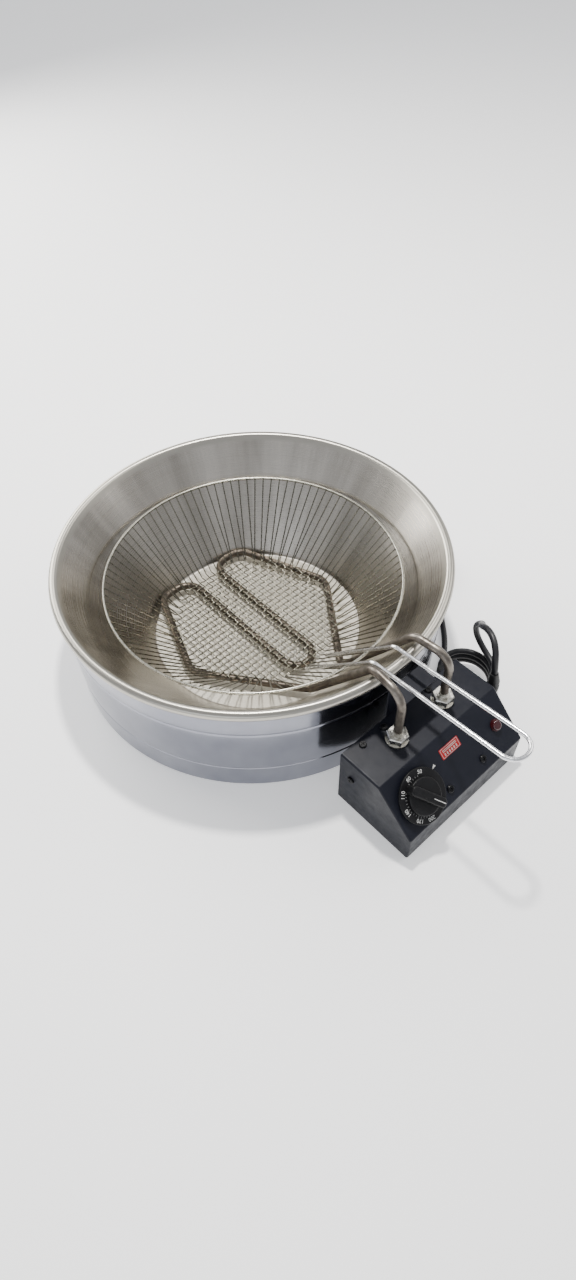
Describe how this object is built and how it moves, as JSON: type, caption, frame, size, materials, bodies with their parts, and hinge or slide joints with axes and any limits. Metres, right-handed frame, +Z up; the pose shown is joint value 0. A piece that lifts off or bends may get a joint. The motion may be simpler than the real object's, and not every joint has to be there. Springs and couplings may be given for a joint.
{
  "type": "electric fryer pan",
  "caption": "Round aluminium frying pan in a skirt, with a lift-out tubular heater on a thermostat box, a wire basket with a wire handle and a supply cord.",
  "frame": {"origin": "middle of the footprint on the table, measured without the cord", "axes": "+X from the pan towards the control box and the basket's handle, +Y towards the end of the box where the cord leaves, +Z up"},
  "size_m": [0.533, 0.4486, 0.142],
  "materials": {
    "pan": "spun, cooked-in film",
    "skirt": "satin",
    "heating_element": "heat-browned sheath",
    "element_fittings": "zinc plated",
    "element_washers": "zinc plated",
    "element_nuts": "zinc plated",
    "element_lock_nuts": "zinc plated",
    "element_terminals": "plain",
    "box_cover": "satin powder coat",
    "box_base": "satin powder coat",
    "top_screws": "black finish",
    "side_screws": "black finish",
    "panel_screws": "black finish",
    "lifting_bracket": "satin powder coat",
    "bracket_screws": "black finish",
    "thermostat": "moulded",
    "thermostat_screws": "plain",
    "capillary_tube": "copper",
    "sensing_bulb": "copper",
    "bulb_clip": "plain",
    "knob": "moulded",
    "knob_shaft": "plain",
    "pilot_lens": "clear red",
    "pilot_lamp_body": "moulded",
    "pilot_lamp_nut": "nylon",
    "label_plate": "printed",
    "terminal_block": "unglazed",
    "terminal_screws": "plain",
    "earth_screw": "zinc plated",
    "supply_wires": "sleeved",
    "earth_wire": "sleeved",
    "heater_wires": "glass sleeved",
    "basket_base_wires_lower": "plated wire",
    "basket_base_wires_upper": "plated wire",
    "basket_side_wires": "plated wire",
    "basket_rim": "plated wire",
    "basket_handle": "plated wire",
    "cord_gland": "moulded",
    "gland_nut": "moulded",
    "strain_relief": "moulded",
    "power_cord": "round flexible cord",
    "cord_coil": "round flexible cord",
    "cord_tie": "strap",
    "cord_tail": "round flexible cord",
    "plug_body": "moulded",
    "plug_pins": "nickel plated"
  },
  "bodies": {
    "bowl": {"pan": "pan", "skirt": "skirt"},
    "heater_unit": {"heating_element": "heating_element", "element_fittings": "element_fittings", "element_washers": "element_washers", "element_nuts": "element_nuts", "element_lock_nuts": "element_lock_nuts", "element_terminals": "element_terminals", "box_cover": "box_cover", "box_base": "box_base", "top_screws": "top_screws", "side_screws": "side_screws", "panel_screws": "panel_screws", "lifting_bracket": "lifting_bracket", "bracket_screws": "bracket_screws", "thermostat": "thermostat", "thermostat_screws": "thermostat_screws", "capillary_tube": "capillary_tube", "sensing_bulb": "sensing_bulb", "bulb_clip": "bulb_clip", "pilot_lens": "pilot_lens", "pilot_lamp_body": "pilot_lamp_body", "pilot_lamp_nut": "pilot_lamp_nut", "label_plate": "label_plate", "terminal_block": "terminal_block", "terminal_screws": "terminal_screws", "earth_screw": "earth_screw", "supply_wires": "supply_wires", "earth_wire": "earth_wire", "heater_wires": "heater_wires", "cord_gland": "cord_gland", "gland_nut": "gland_nut", "strain_relief": "strain_relief", "power_cord": "power_cord", "cord_coil": "cord_coil", "cord_tie": "cord_tie", "cord_tail": "cord_tail", "plug_body": "plug_body", "plug_pins": "plug_pins"},
    "basket": {"basket_base_wires_lower": "basket_base_wires_lower", "basket_base_wires_upper": "basket_base_wires_upper", "basket_side_wires": "basket_side_wires", "basket_rim": "basket_rim", "basket_handle": "basket_handle"},
    "thermostat_knob": {"knob": "knob", "knob_shaft": "knob_shaft"}
  },
  "joints": [
    {"name": "heater_lift", "type": "slide", "parent": "bowl", "child": "heater_unit", "axis": [0, 0, 1], "range_m": [0, 0.15]},
    {"name": "basket_lift", "type": "slide", "parent": "heater_unit", "child": "basket", "axis": [0, 0, 1], "range_m": [0, 0.16]},
    {"name": "knob_turn", "type": "hinge", "parent": "heater_unit", "child": "thermostat_knob", "pos_m": [0.20656, -0.047, 0.05035], "axis": [0.6921, 0, 0.7218], "range_deg": [-270, 0]}
  ]
}
